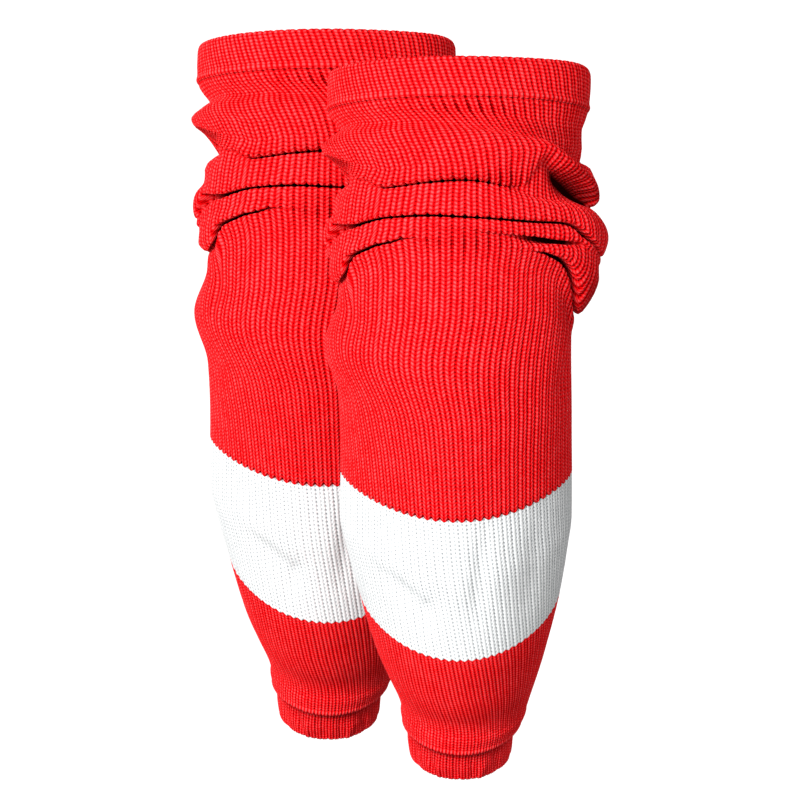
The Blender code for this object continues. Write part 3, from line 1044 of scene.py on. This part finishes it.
@dataclass
class UpperLeg(KnitPiece):
    """The slouched cloth from the top seam to the stripe.

    neck_ names the cloth between the seam and the first fold, which rises under the top
    cuff at overlap_bearing. A crease is fully sharp at sharp_depth, and its painted shade
    is full at dark_depth but lighter where its air is over pale_air. A _share is a share
    of the size that it goes with, from 0 to 1.
    """

    top: float = 160.0
    bottom: float = -91.5
    steps: tuple[int, ...] = (3, 3, 3) + (4 * FOLD_STEPS)[:-1] + (3, 3, 5, 7, 7, 9, 10)
    last_zigzag: float = 0.35
    folds: tuple[tuple[Fold, ...], ...] = (TOP_FOLD, MIDDLE_FOLD, SIDE_FOLD, LOW_FOLD)
    troughs: tuple[Trough, ...] = table_of(
        Trough,
        # bearing, level, to_bearing, to_level, width, depth
        (-66, 126, -58, 117, 5, 1.6),
        (-54, 118, -46, 108, 2.6, 1.5),
        (-47, 112, -40, 105.5, 2, -1.3),
        (-44, 117, -37, 110, 3, 1),
        (22, 116, 26, 104, 3, 1.3),
        (84, 134, 96, 124, 6, -2.2),
        (-112, 92, -76, 93, 6.5, 5),
        (-70, 30, -45, 12, 10, 2),
        (-60, -20, -75, -45, 12, 1.6),
        (60, -30, 80, -10, 12, 1.6),
        (130, 60, 175, 20, 9, 2),
        (-150, 20, -120, -10, 10, 1.8),
    )
    gapes: tuple[Patch, ...] = table_of(
        Patch,
        # bearing, width, level, height, share
        (8, 26, 153.5, 4.5, 1),
        (20, 14, 108, 6, 0.9),
        (4, 26, 70, 7, 0.6),
        (28, 26, -5, 55, 0.25),
    )
    # Patches of painted shadow: in the valley under the first fold's right ridge, on the neck beside it,
    # under the folds' lips in front and on the low lobe at the wearer's left.
    painted_shadows: tuple[Patch, ...] = table_of(
        Patch,
        # bearing, width, level, height, share
        (60, 13, 112, 8, 0.45),
        (78, 12, 102, 6, 0.6),
        (50, 30, 141, 5, 0.3),
        (2, 26, 74, 5, 0.22),
        (6, 24, 109.5, 3.5, 0.26),
        (86, 20, 34, 20, 0.46),
    )
    neck_above_crest: float = 6.0
    neck_overlap: float = 4.6
    neck_out: float = -1.6
    neck_sunk: float = 1.4
    overlap_bearing: float = 42.0
    overlap_width: float = 40.0
    merged_air: float = 1.6
    below_lip: float = 10.0
    knee_levels: tuple[float, ...] = (2.0, -22.0, -56.0)
    rib_height: float = 0.9
    lip_rib: float = 1.9
    crease_rib: float = 0.4
    least_gap: float = 0.3
    crest_share: float = 0.5
    shelf_share: float = 0.88
    set_back: float = 1.2
    slot_share: float = 0.42
    cave_share: float = 0.10
    sharp_depth: float = 4.0
    dark_depth: float = 8.0
    pale_air: float = 4.5
    pale_share: float = 0.6
    ledge_share: float = 0.5
    cavity_air: float = 8.0
    face_share: float = 0.72
    under_drop: float = 0.55
    under_share: float = 0.9
    round_share: float = 0.26
    round_from: float = 8.0
    round_over: float = 12.0
    roof_below: float = 0.4
    roof_free: float = 60.0

    def rows(self, bearing: Array) -> Rows:
        """The seam, the neck, seven rows for each fold, and the plain leg below.

        Args:
            bearing: The columns' bearings in degrees.

        Returns:
            The control rows.
        """
        flat = np.zeros_like(bearing)
        made = Rows(flat)
        tables = [columns_of(table) for table in self.folds]
        folds = [{name: smooth_round(bearing, table["bearing"], table[name])
                  for name in table} for table in tables]
        overlap = np.exp(-(((bearing - self.overlap_bearing) / self.overlap_width) ** 2))
        neck = folds[0]["crest"] + self.neck_above_crest - self.neck_overlap * overlap
        made.add(self.top, 0.0, self.rib_height, shade=0.2)
        made.add(0.5 * (self.top + neck), -0.9, 1.3 * self.rib_height)
        made.add(neck, self.neck_out - self.neck_sunk * overlap, self.rib_height, shade=0.35 * overlap)
        merged = [1.0 - np.clip((fold["lip_out"] - fold["tuck_out"]) / self.sharp_depth, 0.0, 1.0)
                  for fold in folds]
        roofs = [neck] + [fold["lip"] - np.maximum(fold["air"], self.merged_air * share)
                          for fold, share in zip(folds, merged)]
        crests = [fold["crest"] for fold in folds]
        starts = [np.minimum(crest, roof) for crest, roof in zip(crests, roofs)] + [roofs[-1]]
        lip_out, tuck_out, painted_shade = flat, flat, flat
        for fold, start, after in zip(folds, starts, starts[1:]):
            nose, nose_out, lip, tuck = fold["nose"], fold["nose_out"], fold["lip"], fold["tuck"]
            start_out = np.clip(lip_out - self.set_back, self.crest_share * nose_out,
                                self.shelf_share * nose_out)
            start_out = np.maximum(start_out, np.minimum(tuck_out, nose_out))
            face_out = start_out + (nose_out - start_out) * self.face_share
            made.add(start, start_out, self.rib_height, shade=0.2 * painted_shade)
            made.add(0.5 * (start + nose), face_out, self.rib_height)
            made.add(nose, nose_out, self.rib_height)

            lip_out, tuck_out = fold["lip_out"], fold["tuck_out"]
            rounded = np.clip((nose - lip - self.round_from) / self.round_over, 0.0, 1.0)
            hang = self.under_share - self.round_share * rounded
            made.add(nose + (lip - nose) * self.under_drop, lip_out + (nose_out - lip_out) * hang,
                     self.rib_height)

            depth = lip_out - tuck_out
            sharp = np.clip(depth / self.sharp_depth, 0.0, 1.0)
            pale = np.clip((fold["air"] - self.pale_air) / self.cavity_air, 0.0, 1.0)
            # Painted shade of the crease: full at dark_depth, lighter where the air under the lip is
            # wide.
            painted_shade = np.clip(depth / self.dark_depth, 0.0, 1.0)
            painted_shade *= 1.0 - self.pale_share * pale
            slot = self.slot_share * fold["air"] + self.cave_share * depth
            lip_rib = self.rib_height + (self.lip_rib - self.rib_height) * sharp
            tuck_rib = self.rib_height + (self.crease_rib - self.rib_height) * sharp
            roof = np.minimum(tuck + slot, lip - self.roof_below + self.roof_free * sharp)
            foot = np.clip(tuck - slot, after + self.least_gap, None)
            foot = np.minimum(foot, np.maximum(roof - self.least_gap, after + self.least_gap))
            roof = np.maximum(roof, foot + self.least_gap)
            made.add(lip, lip_out, lip_rib, shade=0.25 * painted_shade)
            made.add(roof, tuck_out, tuck_rib, shade=painted_shade, crease=True)
            made.add(foot, tuck_out, tuck_rib, shade=painted_shade)

        full = np.clip((self.cavity_air - fold["air"]) / (0.5 * self.cavity_air), 0.0, 1.0)
        ledge_out = tuck_out + (lip_out - tuck_out) * self.ledge_share * full
        below = starts[-1] - self.below_lip
        made.add(starts[-1], ledge_out, self.rib_height, shade=0.2 * painted_shade)
        made.add(below, 0.3, self.rib_height)
        made.add(0.5 * (below + self.knee_levels[0]), 0.0, self.rib_height)
        for level in (*self.knee_levels, self.bottom):
            made.add(level, 0.0, self.rib_height)
        return made


@dataclass
class TopCuff(KnitPiece):
    """The hemmed rim, two layers thick and rounded over at the top.

    Its first rings, those of the rim, rise by raised_rim at raised_bearing.
    """

    thickness: float = 3.4
    rim: float = 186.5
    raised_rim: float = 2.4
    raised_bearing: float = 70.0
    raised_width: float = 32.0
    raised_rings: int = 4
    bottom: float = 160.3
    steps: tuple[int, ...] = (2, 2, 5, 5, 2, 3, 2)
    rings: tuple[Ring, ...] = table_of(
        Ring,
        # level, out, rib, shade, link: over the rim, down the face, under the fold
        (rim, -1.6, 0.81),
        (rim - 0.5, -0.6, 0.9),
        (rim - 2.6, 0.5, 0.9),
        (rim - 13.0, 1.0, 0.9),
        (bottom + 4.6, 1.0, 0.54),
        (bottom + 2.4, 1.7, 0.36, 0.0, 1.0),
        (bottom + 0.6, 1.0, 0.54, 0.2),
        (bottom, 0.2, 0.45, 0.35),
    )

    def rows(self, bearing: Array) -> Rows:
        """Draw the rings, with the first ones raised.

        Args:
            bearing: The columns' bearings in degrees.

        Returns:
            The control rows.
        """
        made = super().rows(bearing)
        raised = np.exp(-(((bearing - self.raised_bearing) / self.raised_width) ** 2))
        for line in made.lines[:self.raised_rings]:
            line["level"] += self.raised_rim * raised
        return made


@dataclass
class Stripe(KnitPiece):
    """The white stretch of the tube, knitted in."""

    top: float = -91.8
    bottom: float = -178.0
    rings: tuple[Ring, ...] = table_of(
        Ring,
        # level, out, rib
        (top, 0.0, 0.36),
        (-113.35, 0.0, 0.36),
        (-134.9, 0.0, 0.36),
        (-156.45, 0.0, 0.36),
        (bottom, 0.0, 0.36),
    )
    steps: tuple[int, ...] = (10, 10, 10, 10)
    first_zigzag: float = 0.4
    last_zigzag: float = 0.4
    troughs: tuple[Trough, ...] = table_of(
        Trough,
        # bearing, level, to_bearing, to_level, width, depth
        (-42, -128, -16, -152, 9, 4.2),
        (-52, -118, -28, -134, 8, -2.2),
        (-12, -140, -22, -162, 6, 2.6),
        (14, -100, 10, -150, 7, 2.4),
        (44, -105, 40, -160, 10, 1.4),
        (-140, -110, -165, -150, 10, 2),
        (120, -120, 150, -150, 10, 1.8),
    )


@dataclass
class LowerLeg(KnitPiece):
    """The tube below the stripe, ending in the thicker hem at the ankle."""

    top: float = -178.3
    hem_top: float = -268.0
    bottom: float = -280.0
    rings: tuple[Ring, ...] = table_of(
        Ring,
        # level, out, rib, shade, link: down the tube, over the hem's ridge, under its edge
        (top, 0.0, 0.8),
        (0.5 * (top + hem_top), 0.0, 0.8),
        (hem_top + 2.5, -0.6, 0.8),
        (hem_top - 0.8, 0.6, 0.5),
        (hem_top - 4.0, 1.0, 0.5),
        (bottom + 4.2, 0.9, 0.5),
        (bottom + 2.6, 1.3, 0.5, 0.0, 1.0),
        (bottom + 1.0, 0.9, 0.5),
        (bottom, -0.4, 0.3, 0.7),
    )
    steps: tuple[int, ...] = (20, 20, 2, 2, 2, 2, 2, 2)
    first_zigzag: float = 0.15


@dataclass
class AnkleCuff(KnitPiece):
    """The narrow cuff that shows under the ankle hem, in a finer rib."""

    course: float = 2.0
    top: float = -280.3
    bottom: float = -302.0
    rings: tuple[Ring, ...] = table_of(
        Ring,
        # level, out, rib, shade: out from under the hem, down, under the lower edge
        (top, -2.9, 0.9, 0.85),
        (top - 2.4, -2.3, 0.9, 0.5),
        (0.5 * (top + bottom), -0.4, 0.9, 0.15),
        (bottom + 1.2, 0.0, 0.9, 0.15),
        (bottom, -0.9, 0.63, 0.3),
    )
    steps: tuple[int, ...] = (2, 3, 3, 2)
    troughs: tuple[Trough, ...] = table_of(
        Trough,
        # bearing, level, to_bearing, to_level, width, depth
        (-66, -286, -56, -300, 6, 1.8),
        (-40, -284, -30, -298, 4.5, 2.1),
        (-22, -286, -27, -302, 4, -1.2),
        (-8, -288, -2, -299, 4.5, 2),
        (9, -285, 17, -297, 4, 1.6),
        (27, -288, 22, -302, 5, -1.4),
        (38, -284, 48, -299, 5, 2.1),
        (84, -286, 78, -300, 7, 1.6),
        (128, -285, 138, -299, 7, 1.8),
        (-158, -286, -148, -298, 7, 1.6),
        (-108, -285, -114, -300, 7, 1.7),
    )


# --- the pair

ASIDE, AHEAD = 0.047, 0.0855  # metres from the middle of the pair to the left sock


@dataclass
class Sock:
    """One sock: where it stands, in metres, and its pieces from the rim down."""

    side: Side
    x: float
    y: float

    def pieces(self) -> list[KnitPiece]:
        """The five pieces, from the rim down."""
        return [
            TopCuff("top_cuff", Yarn.RED),
            UpperLeg("upper_leg", Yarn.RED),
            Stripe("stripe", Yarn.WHITE),
            LowerLeg("lower_leg", Yarn.RED),
            AnkleCuff("ankle_cuff", Yarn.RED),
        ]

    def build(self, finishes: dict[Yarn, bpy.types.Material]) -> None:
        """Make the sock's pieces, hang them on the root, hide the parts they stand in for and log them.

        Args:
            finishes: The material for each yarn.
        """
        for piece in self.pieces():
            node = f"{self.side.value}_{piece.name}"
            mesh = piece.mesh()
            mesh.name = node + "_knit"
            mesh.transform(Matrix.Translation((self.x, self.y, 0.0)))
            mesh.materials.append(finishes[piece.yarn])
            shown = bpy.data.objects.new(node + "_knit", mesh)
            bpy.context.scene.collection.objects.link(shown)
            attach(shown, "root")
            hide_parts(node)
            piece.cut()
            log.info("%s: %d faces in %s", shown.name, len(mesh.polygons), piece.yarn.value)


# --- the studio

@dataclass(frozen=True)
class Lamp:
    """A broad far light: which way it shines and how wide it looks, in degrees."""

    name: str
    strength: float
    softness: float
    way: Triple


@dataclass(frozen=True)
class Studio:
    """A pale floor well below the ankles, soft light and the photograph's view."""

    floor_level: float = -1.8
    floor_half: float = 60.0
    floor_tone: float = 0.99
    floor_roughness: float = 0.9
    eye: Triple = (0.0055, -8.9124, 1.20096)
    aim: Triple = (0.0055, 0.0, -0.0516)
    lens: float = 572.67
    far: float = 200.0
    world: float = 0.24
    lamps: tuple[Lamp, ...] = table_of(
        Lamp,
        ("key", 5.35, 34.0, (0.52, 0.77, -0.375)),
        ("fill", 1.45, 50.0, (-0.36, 0.90, -0.24)),
        ("bounce", 1.0, 60.0, (0.05, 0.80, 0.60)),
        ("back", 1.7, 44.0, (0.40, -0.85, -0.30)),
    )

    def build(self) -> None:
        """Make the floor, the lights and the camera."""
        scene = bpy.context.scene
        scene.view_settings.view_transform = "Standard"
        self.floor()
        self.light()
        data = bpy.data.cameras.new("camera")
        data.lens = self.lens
        data.clip_end = self.far
        camera = bpy.data.objects.new("camera", data)
        camera.location = self.eye
        way = Vector(self.aim) - Vector(self.eye)
        camera.rotation_euler = way.to_track_quat("-Z", "Y").to_euler()
        scene.collection.objects.link(camera)
        scene.camera = camera

    def floor(self) -> None:
        """Make a wide pale floor."""
        ground = bmesh.new()
        bmesh.ops.create_grid(ground, x_segments=1, y_segments=1, size=self.floor_half)
        bmesh.ops.translate(ground, verts=ground.verts, vec=(0.0, 0.0, self.floor_level))
        data = bpy.data.meshes.new("floor")
        ground.to_mesh(data)
        ground.free()
        material = bpy.data.materials.new("pale_floor")
        material.use_nodes = True
        shader = material.node_tree.nodes["Principled BSDF"]
        shader.inputs["Base Color"].default_value = (*(self.floor_tone,) * 3, 1.0)
        shader.inputs["Roughness"].default_value = self.floor_roughness
        shader.inputs["Specular IOR Level"].default_value = 0.0
        data.materials.append(material)
        floor = bpy.data.objects.new("floor", data)
        floor.visible_diffuse = False
        bpy.context.scene.collection.objects.link(floor)

    def light(self) -> None:
        """Make an even surround and the four lamps."""
        world = bpy.data.worlds.new("surround")
        bpy.context.scene.world = world
        world.use_nodes = True
        shade = world.node_tree.nodes["Background"]
        shade.inputs["Color"].default_value = (1.0, 1.0, 1.0, 1.0)
        shade.inputs["Strength"].default_value = self.world
        for lamp in self.lamps:
            data = bpy.data.lights.new(lamp.name, "SUN")
            data.energy = lamp.strength
            data.angle = math.radians(lamp.softness)
            placed = bpy.data.objects.new(lamp.name, data)
            placed.rotation_euler = Vector(lamp.way).to_track_quat("-Z", "Y").to_euler()
            bpy.context.scene.collection.objects.link(placed)


def main() -> None:
    """Build the pair, then the studio."""
    logging.basicConfig(level=logging.INFO, format="%(message)s")
    finishes = {finish.yarn: finish.material() for finish in (RED_FINISH, WHITE_FINISH)}
    for sock in (Sock(Side.LEFT, ASIDE, -AHEAD), Sock(Side.RIGHT, -ASIDE, AHEAD)):
        sock.build(finishes)
    Studio().build()


if __name__ == "__main__":
    main()
